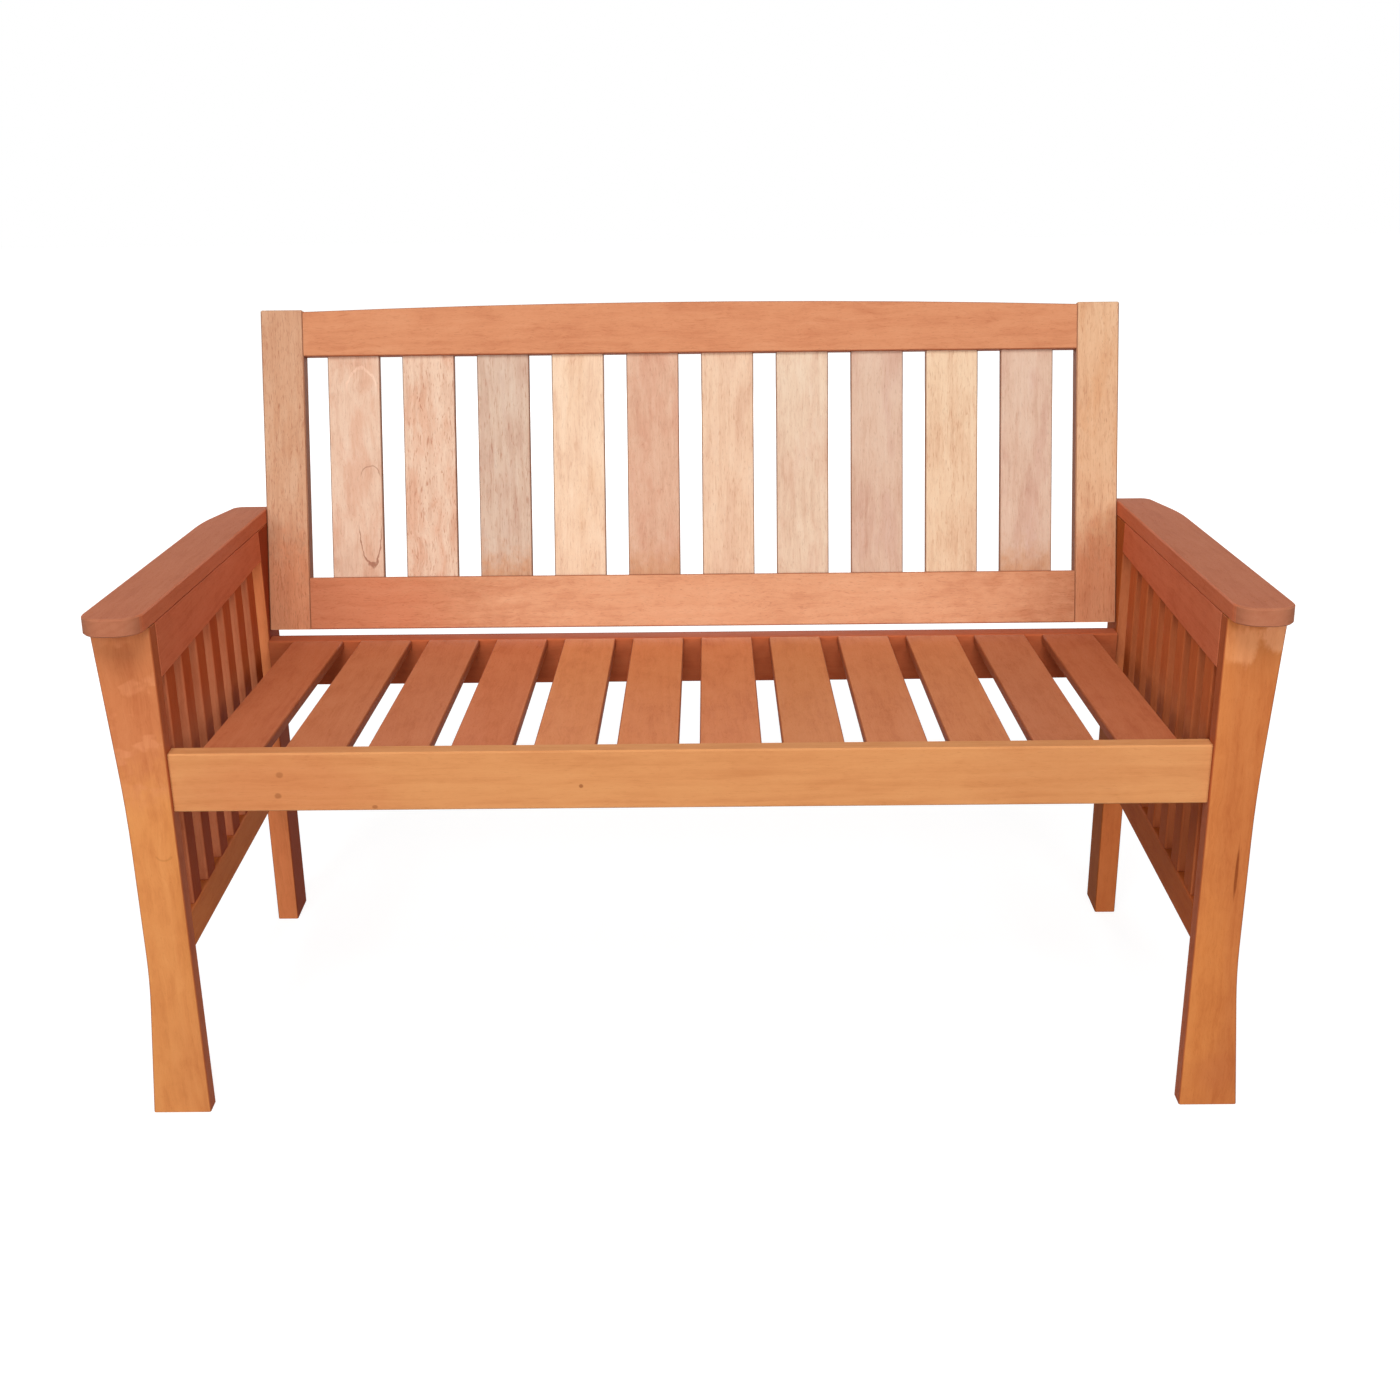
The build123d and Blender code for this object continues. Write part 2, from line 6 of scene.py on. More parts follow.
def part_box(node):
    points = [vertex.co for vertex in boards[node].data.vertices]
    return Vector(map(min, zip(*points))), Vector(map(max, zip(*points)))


# The settle, put together and packed, is the fixed frame that gets its finish here.
# Blender's own starting cube, lamp and camera go, and the box of the bare frame is kept.
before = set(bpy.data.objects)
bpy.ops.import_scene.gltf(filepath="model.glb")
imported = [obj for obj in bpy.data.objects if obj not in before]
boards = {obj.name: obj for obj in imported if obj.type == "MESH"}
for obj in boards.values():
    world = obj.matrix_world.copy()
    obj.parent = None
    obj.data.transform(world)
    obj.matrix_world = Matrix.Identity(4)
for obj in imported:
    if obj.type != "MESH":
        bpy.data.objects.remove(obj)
for start_name in ("Cube", "Light", "Camera"):
    if start_name in bpy.data.objects:
        bpy.data.objects.remove(bpy.data.objects[start_name])
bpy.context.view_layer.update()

# Front legs.
# Two flat boards of golden hardwood, straight inside and sawn to a hollow line outside, planed,
# eased along the edges and wiped with oil. The right one is cut from a redder plank.
UP = Vector((0, 0, 1))
RIGHT = Vector((1, 0, 0))
FRONT = Vector((0, -1, 0))
# The legs' narrow faces are painted darker: painted shade on the faces turned from the light.
LEG_SIDES_SHADE = (0.44, 0.105, 0.034)

# What all the boards share: how far apart their planks lay in the tree, how many swirls of the
# grain there are in a metre, the width of a year's ring in metres and the pith's slant, the
# oiled face's roughness, and how a tone changes to its pale, deep and dark shades, and to the
# worn shade that also serves as a painted highlight on the arrises.
PLANK_STEPS = (1.37, 0.71, 2.93)
SWIRLS = 22.0
YEAR = 0.007
PITH_SLANT = 0.03
OILED = 0.58
PALE = (1.14, 1.3, 1.42)
DEEP = (0.7, 0.5, 0.44)
DARK = (0.42, 0.28, 0.24)
WORN_AND_HIGHLIT = (1.2, 1.4, 1.6)


def add_node(tree, kind, sockets=None, **options):
    """Adds one node, sets its options, and gives each of its sockets a number, colour or link."""
    node = tree.nodes.new(kind)
    for name, value in options.items():
        setattr(node, name, value)
    for name, value in (sockets or {}).items():
        if isinstance(value, bpy.types.NodeSocket):
            tree.links.new(value, node.inputs[name])
        else:
            node.inputs[name].default_value = value
    return node


def reckon(tree, operation, *values):
    """One step of arithmetic on numbers or links."""
    return add_node(tree, "ShaderNodeMath", dict(enumerate(values)), operation=operation).outputs[0]


def tint(tree, share, under, over):
    """Lays one colour over another by a share from 0 to 1."""
    node = tree.nodes.new("ShaderNodeMix")
    node.data_type = "RGBA"
    node.clamp_factor = True
    for index, value in ((0, share), (6, under), (7, over)):
        if isinstance(value, bpy.types.NodeSocket):
            tree.links.new(value, node.inputs[index])
        elif index == 0:
            node.inputs[index].default_value = value
        else:
            node.inputs[index].default_value = (*value, 1)
    return node.outputs[2]


def band(tree, value, low, high):
    """A soft step: 0 below low and 1 above high."""
    node = add_node(tree, "ShaderNodeMapRange", {"Value": value, "From Min": low, "From Max": high},
                    interpolation_type="SMOOTHSTEP")
    return node.outputs["Result"]


def grain_noise(tree, place, across, along, detail=2.0, rough=0.5):
    """Noise drawn out along the grain: its features are so wide and so long, in metres."""
    stretched = add_node(tree, "ShaderNodeVectorMath",
                         {0: place, 1: (1 / across, 1 / across, 1 / along)}, operation="MULTIPLY")
    node = add_node(tree, "ShaderNodeTexNoise",
                    {"Vector": stretched.outputs[0], "Scale": 1.0, "Detail": detail, "Roughness": rough})
    return node.outputs[0]


def board_places(tree, name, grain, face, seed, bend):
    """A board's own coordinates from its middle, x across it, y into it and z along its grain, and
    the same ones moved to another part of the tree and bent a little, as no grain is straight."""
    low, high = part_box(name)
    middle = (low + high) / 2
    turn = Matrix((grain.cross(face), -face, grain))
    at = add_node(tree, "ShaderNodeTexCoord").outputs["Object"]
    own = add_node(tree, "ShaderNodeMapping",
                   {"Vector": at, "Location": -(turn @ middle), "Rotation": turn.to_euler()})
    moved = add_node(tree, "ShaderNodeVectorMath",
                     {0: own.outputs[0], 1: tuple(seed * step for step in PLANK_STEPS)}, operation="ADD")
    swirl = add_node(tree, "ShaderNodeTexNoise", {"Vector": moved.outputs[0], "Scale": SWIRLS, "Detail": 2.0})
    bent = add_node(tree, "ShaderNodeVectorMath",
                    {0: swirl.outputs["Color"], 1: (bend, bend, 2 * bend), 2: moved.outputs[0]},
                    operation="MULTIPLY_ADD")
    return own.outputs[0], bent.outputs[0]


def oval(tree, own, across, along, half_width, half_length, ragged):
    """How far a place on the face is from an oval's middle, where 1 is on the oval's line, and its
    height over the middle. The oval lies so far across and along the board, and its line is ragged."""
    placed = add_node(tree, "ShaderNodeVectorMath", {0: own, 1: (across, 0, along)}, operation="SUBTRACT")
    scaled = add_node(tree, "ShaderNodeVectorMath",
                      {0: placed.outputs[0], 1: (1 / half_width, 0, 1 / half_length)}, operation="MULTIPLY")
    far = add_node(tree, "ShaderNodeVectorMath", {0: scaled.outputs[0]}, operation="LENGTH").outputs["Value"]
    torn = grain_noise(tree, own, across=0.012, along=0.02, detail=3.0, rough=0.6)
    far = reckon(tree, "MULTIPLY_ADD", reckon(tree, "SUBTRACT", torn, 0.5), ragged, far)
    return far, add_node(tree, "ShaderNodeSeparateXYZ", {0: scaled.outputs[0]}).outputs["Z"]


def patch(tree, own, across, along, half_width, half_length, ragged, soft=0.35):
    """A patch of another tone in the wood, with a torn edge that fades over its soft part."""
    far, _ = oval(tree, own, across, along, half_width, half_length, ragged)
    return reckon(tree, "SUBTRACT", 1.0, band(tree, far, 1 - soft, 1 + soft))


def growth_line(tree, own, across, along, half_width, half_length, upper, thick=0.08):
    """A growth line that bends round: the upper or the lower half of an oval."""
    far, height = oval(tree, own, across, along, half_width, half_length, ragged=0.5)
    off = reckon(tree, "ABSOLUTE", reckon(tree, "SUBTRACT", far, 1.0))
    line = reckon(tree, "SUBTRACT", 1.0, band(tree, off, thick * 0.3, thick))
    half = band(tree, height, -0.1, 0.35) if upper else band(tree, height, 0.1, -0.35)
    return reckon(tree, "MULTIPLY", line, half)


def shaded(tone, factors):
    """A paler or deeper shade of a tone, by a factor each for its red, green and blue."""
    return tuple(min(1.0, part * factor) for part, factor in zip(tone, factors))


def new_material(title):
    """A fresh material, with its node tree and its surface shader."""
    material = bpy.data.materials.new(title)
    material.use_nodes = True
    return material, material.node_tree, material.node_tree.nodes["Principled BSDF"]


def dress(name, material):
    """Gives a piece the one material."""
    boards[name].data.materials.clear()
    boards[name].data.materials.append(material)


def arrises(tree, true_normal, radius, start):
    """1 on the edges and 0 on the flats, by how far an edge rounded so much turns from the face."""
    rounded = add_node(tree, "ShaderNodeBevel", {"Radius": radius}, samples=4)
    facing = add_node(tree, "ShaderNodeVectorMath", {0: rounded.outputs[0], 1: true_normal},
                      operation="DOT_PRODUCT")
    return reckon(tree, "SUBTRACT", 1.0, band(tree, facing.outputs["Value"], start, 0.995))


def oiled_wood(name, tone, grain, face, seed, painted_sides=None, painted_ends=None, other=None, blend=0.5,
               bend=0.014, pith=(0.02, 0.06), rings=0.06, fibres=0.14, streaks=0.16, flecks=0.05,
               mottle=0.3, pores=0.12, grime_and_shade=0.6, reach=0.005, wear_and_highlight=0.3, sheen=0.05, marks=None):
    """Oiled hardwood for one board: growth rings round its own pith, fibres, flecks, clouds and pores.

    The tone is the board's own. Its narrow sides and its ends can have others, painted light and
    shade for how light falls on those faces, and another tone can lie in it in broad clouds, over the
    share that blend says. The grain bends by so many metres, and the pith lies so far aside and behind.
    Rings, fibres, streaks, flecks, mottle, pores, grime and wear are strengths. The grime is dirt with
    painted shade in corners and recesses, spreading as far as its reach, and the wear is pale worn
    arrises with a painted highlight along them. Marks are the patches and lines of this board alone,
    each with its mask, strength and tone.
    """
    material, tree, shader = new_material(name + "_wood")
    own, shifted = board_places(tree, name, grain, face, seed, bend)

    # Growth rings: the way to the pith, which wanders a little, in years. A ring darkens slowly
    # towards its late wood and ends sharply.
    split = add_node(tree, "ShaderNodeSeparateXYZ", {0: own})
    wander = reckon(tree, "SUBTRACT", grain_noise(tree, shifted, across=0.035, along=0.2), 0.5)
    into = reckon(tree, "ADD", split.outputs["Y"],
                  reckon(tree, "MULTIPLY_ADD", split.outputs["Z"], PITH_SLANT, pith[1]))
    aside = reckon(tree, "ADD", split.outputs["X"], pith[0])
    radius = reckon(tree, "SQRT", reckon(tree, "ADD", reckon(tree, "MULTIPLY", into, into),
                                         reckon(tree, "MULTIPLY", aside, aside)))
    year = reckon(tree, "FRACT",
                  reckon(tree, "DIVIDE", reckon(tree, "MULTIPLY_ADD", wander, 0.02, radius), YEAR))
    late_wood = reckon(tree, "MULTIPLY", band(tree, year, 0.2, 0.85),
                       reckon(tree, "SUBTRACT", 1.0, band(tree, year, 0.88, 1.0)))

    # Fibres, streaks, clouds, flecks and pores, each so wide and so long.
    fibre = grain_noise(tree, shifted, across=0.0018, along=0.07, detail=4.0, rough=0.6)
    streak = grain_noise(tree, shifted, across=0.009, along=0.25, detail=3.0, rough=0.6)
    cloud = grain_noise(tree, shifted, across=0.028, along=0.06, detail=4.0, rough=0.62)
    fleck = band(tree, grain_noise(tree, shifted, across=0.0014, along=0.013), 0.57, 0.7)
    pore = band(tree, grain_noise(tree, shifted, across=0.0007, along=0.008, detail=1.0), 0.62, 0.72)
    shade = reckon(tree, "MULTIPLY_ADD", late_wood, rings, 0.5 - 0.38 * rings)
    for noise, strength in ((fibre, fibres), (streak, streaks), (cloud, mottle)):
        shade = reckon(tree, "MULTIPLY_ADD", reckon(tree, "SUBTRACT", noise, 0.5), 2 * strength, shade)
    shade = reckon(tree, "MULTIPLY_ADD", fleck, flecks, shade)

    def toned(base):
        """The shade runs from a tone's pale one through the tone itself to its deep one."""
        ramp = add_node(tree, "ShaderNodeValToRGB", {"Fac": shade})
        stops = ramp.color_ramp.elements
        stops[0].color = (*shaded(base, PALE), 1)
        stops[1].color = (*shaded(base, DEEP), 1)
        middle = stops.new(0.5)
        middle.color = (*base, 1)
        return ramp.outputs["Color"]

    colour = toned(tone)
    if other:
        broad = grain_noise(tree, shifted, across=0.03, along=0.11, detail=4.0, rough=0.65)
        low = 0.5 + (0.5 - blend) * 0.25
        colour = tint(tree, band(tree, broad, low - 0.1, low + 0.1), colour, toned(other))
    if marks:
        for mask, strength, mark_tone in marks(tree, own):
            colour = tint(tree, reckon(tree, "MULTIPLY", mask, strength), colour, toned(mark_tone))

    # The narrow sides and the ends take their own tones where the surface turns towards them:
    # painted light and shade, lighter or darker as the light falls on those faces.
    true_normal = add_node(tree, "ShaderNodeNewGeometry").outputs["True Normal"]
    for painted_tone, way, start, full in ((painted_sides, grain.cross(face), 0.55, 0.8), (painted_ends, grain, 0.2, 0.5)):
        if painted_tone:
            turned = add_node(tree, "ShaderNodeVectorMath", {0: true_normal, 1: way},
                              operation="DOT_PRODUCT")
            painted_face = band(tree, reckon(tree, "ABSOLUTE", turned.outputs["Value"]), start, full)
            colour = tint(tree, painted_face, colour, toned(painted_tone))

    # Dark pores, and arrises worn pale with a painted highlight on them. In the corners and recesses,
    # dirt with painted shade, as deep as the corner hides the place.
    dark = shaded(tone, DARK)
    colour = tint(tree, reckon(tree, "MULTIPLY", pore, pores), colour, dark)
    arris = arrises(tree, true_normal, 0.0015, 0.86)
    colour = tint(tree, reckon(tree, "MULTIPLY", arris, wear_and_highlight), colour, shaded(tone, WORN_AND_HIGHLIT))
    corner = add_node(tree, "ShaderNodeAmbientOcclusion", {"Distance": reach}, samples=4)
    dirt_and_shade = reckon(tree, "SUBTRACT", 1.0, band(tree, corner.outputs["AO"], 0.15, 0.75))
    colour = tint(tree, reckon(tree, "MULTIPLY", dirt_and_shade, grime_and_shade), colour, dark)
    tree.links.new(colour, shader.inputs["Base Color"])

    # Pores are duller than the wood between them, and sunk a little into it.
    dull = reckon(tree, "MULTIPLY_ADD", fibre, 0.16, OILED - 0.08)
    tree.links.new(reckon(tree, "MULTIPLY_ADD", pore, 0.25, dull), shader.inputs["Roughness"])
    height = reckon(tree, "SUBTRACT", reckon(tree, "MULTIPLY", fibre, 0.5),
                    reckon(tree, "MULTIPLY", pore, 0.8))
    bump = add_node(tree, "ShaderNodeBump", {"Height": height, "Strength": 0.3, "Distance": 0.0003})
    tree.links.new(bump.outputs[0], shader.inputs["Normal"])
    shader.inputs["Specular IOR Level"].default_value = sheen
    dress(name, material)


def ease(name, width=0.0006):
    """Rounds the arrises that the plane left at the chamfers, and evens the shading of the faces."""
    piece = boards[name]
    piece.modifiers.new("join", "WELD").merge_threshold = 0.00001
    arris = piece.modifiers.new("arris", "BEVEL")
    arris.width = width
    arris.segments = 2
    arris.limit_method = "ANGLE"
    arris.angle_limit = radians(30)
    arris.use_clamp_overlap = True
    smooth = bpy.data.node_groups.get("even_shading")
    if smooth is None:
        smooth = bpy.data.node_groups.new("even_shading", "GeometryNodeTree")
        smooth.interface.new_socket("Geometry", in_out="INPUT", socket_type="NodeSocketGeometry")
        smooth.interface.new_socket("Geometry", in_out="OUTPUT", socket_type="NodeSocketGeometry")
        start = smooth.nodes.new("NodeGroupInput")
        end = smooth.nodes.new("NodeGroupOutput")
        shade = smooth.nodes.new("GeometryNodeSetShadeSmooth")
        smooth.links.new(start.outputs[0], shade.inputs["Geometry"])
        smooth.links.new(shade.outputs[0], end.inputs[0])
    piece.modifiers.new("even", "NODES").node_group = smooth
    normals = piece.modifiers.new("normals", "WEIGHTED_NORMAL")
    normals.keep_sharp = False
    normals.weight = 50


# Each mark is a mask, its strength and its tone. A patch says how far across and along the board
# its middle lies, its half width and half length in metres, and how ragged and how soft it is.
def left_leg_marks(tree, own):
    """Redder wood under the arm with paler curl in it, a browner edge inside and a small check."""
    figure = band(tree, grain_noise(tree, own, across=0.03, along=0.018), 0.5, 0.6)
    curl = reckon(tree, "MULTIPLY", patch(tree, own, 0.0, 0.19, 0.06, 0.085, 0.6, 0.4), figure)
    return (
        (patch(tree, own, -0.006, 0.24, 0.08, 0.13, 0.7, 0.4), 0.85, (0.56, 0.178, 0.07)),
        (curl, 0.55, (0.71, 0.27, 0.115)),
        (patch(tree, own, 0.034, -0.03, 0.013, 0.13, 0.6, 0.5), 0.45, (0.6, 0.21, 0.055)),
        (patch(tree, own, 0.028, -0.24, 0.03, 0.07, 0.8, 0.5), 0.4, (0.61, 0.215, 0.07)),
        (growth_line(tree, own, 0.017, 0.028, 0.008, 0.006, False, 0.25), 0.3, (0.4, 0.12, 0.03)),
    )


def right_leg_marks(tree, own):
    """Sapwood at the head, paler wood down the inner edge, a dark mineral streak and a redder foot."""
    return (
        (patch(tree, own, -0.016, 0.254, 0.019, 0.022, 1.2, 0.25), 0.7, (0.78, 0.32, 0.135)),
        (patch(tree, own, 0.02, 0.266, 0.014, 0.018, 1.2, 0.25), 0.7, (0.8, 0.34, 0.16)),
        (patch(tree, own, -0.034, 0.05, 0.015, 0.5, 0.4, 0.5), 0.5, (0.65, 0.22, 0.062)),
        (patch(tree, own, -0.016, -0.16, 0.021, 0.13, 0.8, 0.5), 0.55, (0.67, 0.23, 0.06)),
        (patch(tree, own, 0.0045, -0.004, 0.0016, 0.028, 0.6), 0.85, (0.26, 0.06, 0.015)),
        (patch(tree, own, 0.006, -0.25, 0.026, 0.022, 1.0, 0.5), 0.4, (0.5, 0.14, 0.046)),
    )


oiled_wood("left_front_leg", (0.69, 0.265, 0.082), UP, FRONT, 1, painted_sides=LEG_SIDES_SHADE, mottle=0.35,
           marks=left_leg_marks)
oiled_wood("right_front_leg", (0.555, 0.175, 0.051), UP, FRONT, 2, painted_sides=LEG_SIDES_SHADE, streaks=0.3,
           marks=right_leg_marks)
for side in ("left", "right"):
    ease(side + "_front_leg")

# Back legs.
# Two straight posts of red-brown hardwood, set edge on, deep enough from front to back to carry
# the back panel's bolts. They are planed square, eased and oiled like the rest.


def brown_shaded_head(tree, own):
    """Browner wood and painted shade in the leg's upper half."""
    return ((patch(tree, own, 0.0, 0.24, 0.12, 0.2, 1.0, 0.3), 0.85, (0.5, 0.15, 0.06)),)


# Side, seed of the grain, tone, tone of the narrow faces (painted shade), marks
BACK_LEGS = (
    ("left", 3, (0.77, 0.24, 0.088), (0.32, 0.057, 0.018), None),
    ("right", 4, (0.68, 0.188, 0.056), (0.4, 0.105, 0.025), brown_shaded_head),
)
for side, seed, tone, side_shade_tone, marks in BACK_LEGS:
    oiled_wood(side + "_back_leg", tone, UP, FRONT, seed, painted_sides=side_shade_tone, sheen=0.02, marks=marks)
    ease(side + "_back_leg")

# Side rails and slats.
# Each side has a rail under the arm and one below the seat, both tenoned into the two legs, with
# seven thin slats standing in mortises between them, all of the darker red-brown wood.
BACKWARD = Vector((0, 1, 0))


def shade_under_seat(tone):
    """The slats' inner faces are darker and redder below the seat: painted shade under the seat."""
    def marks(tree, own):
        depth = add_node(tree, "ShaderNodeSeparateXYZ", {0: own}).outputs["Y"]
        below_seat = patch(tree, own, 0.0, -0.12, 0.2, 0.14, 0.3, 0.12)
        return ((reckon(tree, "MULTIPLY", band(tree, depth, 0.001, -0.001), below_seat), 0.95, tone),)
    return marks


# Side, seed, way to the seat, tones of the lower rail, the slats and the slats' edges, the edges'
# tone being painted light and shade, grime, which near the seat is painted shade, and the painted
# shade of the slats' inner faces below the seat
SIDES = (
    ("left", 5, RIGHT, (0.58, 0.165, 0.045), (0.48, 0.1, 0.028), (0.63, 0.2, 0.092), 0.3,
     (0.28, 0.04, 0.006)),
    ("right", 6, -RIGHT, (0.43, 0.1, 0.022), (0.55, 0.142, 0.044), (0.46, 0.123, 0.044), 0.7,
     (0.36, 0.075, 0.016)),
)
UPPER_RAIL = (0.67, 0.187, 0.086)
for side, seed, inward, low_rail, flat, painted_edge, grime_and_shade, under_seat_tone in SIDES:
    oiled_wood(side + "_upper_side_rail", UPPER_RAIL, BACKWARD, inward, seed, grime_and_shade=0.0, sheen=0.02)
    oiled_wood(side + "_lower_side_rail", low_rail, BACKWARD, inward, seed + 4, sheen=0.02)
    ease(side + "_upper_side_rail")
    ease(side + "_lower_side_rail")
    for number in range(1, 8):
        name = f"{side}_side_slat_{number}"
        # The grime reaches far here, so near the seat and the rails it is painted shade.
        oiled_wood(name, flat, UP, inward, seed * 10 + number, painted_sides=painted_edge, grime_and_shade=grime_and_shade, reach=0.05,
                   sheen=0.02, marks=shade_under_seat(under_seat_tone))
        ease(name)

# Arms.
# Each arm is one thick board lying on both legs and the upper rail, rounded at the front and
# tapered at the back, and falling a little to the rear. Hands have kept its top satin.
ARM_FALL = radians(3.4)
ARM_GRAIN = Vector((0, cos(ARM_FALL), -sin(ARM_FALL)))
ARM_FACE = Vector((0, sin(ARM_FALL), cos(ARM_FALL)))
for side, seed in (("left", 11), ("right", 12)):
    # The arms' sides and front ends take painted light and shade, and their arrises carry a painted
    # highlight.
    oiled_wood(side + "_arm", (0.51, 0.164, 0.08), ARM_GRAIN, ARM_FACE, seed, painted_sides=(0.62, 0.17, 0.075),
               painted_ends=(0.42, 0.15, 0.078), fibres=0.1, mottle=0.22, grime_and_shade=0.0, wear_and_highlight=0.55)
    ease(side + "_arm")

# Seat rails.
# The front rail is a long golden board bolted between the front legs, with a few pin knots in it.
# The back rail, of red-brown wood, stands in front of the back legs. The slats are let into both.


def pin_knots(tree, own):
    """Four pin knots and redder heartwood towards the left end of the front rail."""
    dark = (0.3, 0.09, 0.03)
    return (
        (patch(tree, own, 0.01, -0.43, 0.045, 0.1, 0.8, 0.6), 0.65, (0.6, 0.21, 0.08)),
        (patch(tree, own, 0.0, 0.38, 0.04, 0.08, 1.2, 0.5), 0.4, (0.57, 0.22, 0.08)),
        (patch(tree, own, -0.0087, -0.430, 0.003, 0.0035, 0.8), 0.45, dark),
        (patch(tree, own, 0.0153, -0.4337, 0.003, 0.0035, 0.8), 0.55, dark),
        (patch(tree, own, 0.029, -0.3324, 0.002, 0.003, 0.5), 0.6, dark),
        (patch(tree, own, 0.0069, -0.1141, 0.0022, 0.0022, 0.5), 0.8, dark),
    )


# Its top arris is worn pale and carries a painted highlight.
oiled_wood("seat_front_rail", (0.66, 0.28, 0.104), RIGHT, FRONT, 15, bend=0.004, fibres=0.08,
           streaks=0.2, mottle=0.18, wear_and_highlight=0.6, marks=pin_knots)
ease("seat_front_rail")
oiled_wood("seat_back_rail", (0.5, 0.12, 0.045), RIGHT, FRONT, 16, sheen=0.02)
ease("seat_back_rail")

# Seat slats.
# Twelve thin slats run from the front rail down to the back rail, each planed from its own plank:
# the outer ones are redder and darker, and the middle ones more orange.
SEAT_FALL = radians(4)
SEAT_GRAIN = Vector((0, cos(SEAT_FALL), -sin(SEAT_FALL)))
SEAT_FACE = Vector((0, sin(SEAT_FALL), cos(SEAT_FALL)))
# The slats' tones from left to right
SEAT_TONES = (
    (0.525, 0.152, 0.062), (0.565, 0.182, 0.077), (0.585, 0.188, 0.083), (0.62, 0.187, 0.077),
    (0.71, 0.248, 0.096), (0.69, 0.229, 0.086), (0.68, 0.224, 0.088), (0.65, 0.23, 0.088),
    (0.64, 0.22, 0.09), (0.63, 0.218, 0.088), (0.54, 0.177, 0.077), (0.515, 0.153, 0.063),
)
for number, tone in enumerate(SEAT_TONES, 1):
    name = f"seat_slat_{number}"
    # The slats' narrow sides are painted darker: painted shade.
    oiled_wood(name, tone, SEAT_GRAIN, SEAT_FACE, 20 + number, painted_sides=(0.38, 0.095, 0.035), sheen=0.04)
    ease(name)

# Back frame.
# Two stiles and two rails in one leaning panel, the top rail sawn to a low arch. The stiles come
# from a coarse-pored, greyish plank, and the rails from salmon-coloured wood.
LEAN = radians(16)
BACK_GRAIN = Vector((0, sin(LEAN), cos(LEAN)))
BACK_FACE = Vector((0, -cos(LEAN), sin(LEAN)))
# The narrow faces of the stiles and rails are painted darker: painted shade.
STILE_SIDE_SHADE = (0.36, 0.13, 0.06)
RAIL_SIDE_SHADE = (0.5, 0.17, 0.08)


def brown_head_shaded_foot(tree, own):
    """Browner wood at the head of the left stile, and a darker, redder foot: painted shade and red bounce
    light from the arm and seat.
    """
    return (
        (patch(tree, own, 0.0, 0.18, 0.09, 0.09, 0.8, 0.5), 0.6, (0.6, 0.32, 0.19)),
        (patch(tree, own, 0.0, -0.19, 0.09, 0.1, 1.2, 0.5), 0.8, (0.69, 0.27, 0.132)),
    )


def shaded_red_foot(tree, own):
    """A darker, redder foot on the right stile: painted shade and red bounce light from the arm and seat."""
    return ((patch(tree, own, 0.0, -0.19, 0.09, 0.1, 1.2, 0.5), 0.8, (0.64, 0.24, 0.115)),)


def pale_middle(tree, own):
    """Paler wood along most of the bottom rail, and redder at its left end."""
    return (
        (patch(tree, own, 0.0, 0.07, 0.12, 0.35, 1.0, 0.4), 0.85, (0.745, 0.37, 0.207)),
        (patch(tree, own, 0.0, -0.45, 0.09, 0.12, 1.2, 0.5), 0.7, (0.6, 0.2, 0.098)),
    )


oiled_wood("left_back_stile", (0.645, 0.375, 0.232), BACK_GRAIN, BACK_FACE, 41, painted_sides=STILE_SIDE_SHADE,
           other=(0.61, 0.325, 0.19), blend=0.4, bend=0.008, fibres=0.25, flecks=0.3, pores=0.45,
           marks=brown_head_shaded_foot)
oiled_wood("right_back_stile", (0.735, 0.44, 0.26), BACK_GRAIN, BACK_FACE, 42, painted_sides=STILE_SIDE_SHADE,
           other=(0.69, 0.37, 0.2), blend=0.3, bend=0.008, fibres=0.2, flecks=0.25, pores=0.3, marks=shaded_red_foot)
oiled_wood("back_top_rail", (0.645, 0.268, 0.132), RIGHT, BACK_FACE, 43, painted_sides=RAIL_SIDE_SHADE,
           streaks=0.2, flecks=0.12, pores=0.2)
oiled_wood("back_bottom_rail", (0.61, 0.25, 0.125), RIGHT, BACK_FACE, 44, painted_sides=RAIL_SIDE_SHADE,
           streaks=0.2, flecks=0.15, pores=0.25, marks=pale_middle)
for name in ("left_back_stile", "right_back_stile", "back_top_rail", "back_bottom_rail"):
    ease(name)

# Back slats.
# Ten thin slats stand in mortises between the two back rails. Each is from another plank, so they
# run from grey-pink to pale straw, and the first one shows the ends of its growth rings as arches.


def shaded_warm_foot(tree, own):
    """A darker, warmer foot on a slat above the rail: painted shade and red bounce light from the seat."""
    return ((patch(tree, own, 0.0, -0.18, 0.06, 0.06, 1.2, 0.5), 0.95, (0.6, 0.305, 0.165)),)


def arches(tree, own):
    """Growth rings that the saw cut across: an arch, a hook and a long loop open at the top."""
    line = (0.42, 0.2, 0.13)
    return (
        (growth_line(tree, own, 0.009, 0.096, 0.019, 0.03, True, 0.09), 0.55, (0.9, 0.62, 0.46)),
        (growth_line(tree, own, 0.018, -0.012, 0.012, 0.014, True), 0.6, line),
        (growth_line(tree, own, 0.0165, -0.07, 0.014, 0.056, False, 0.06), 0.95, line),
    )


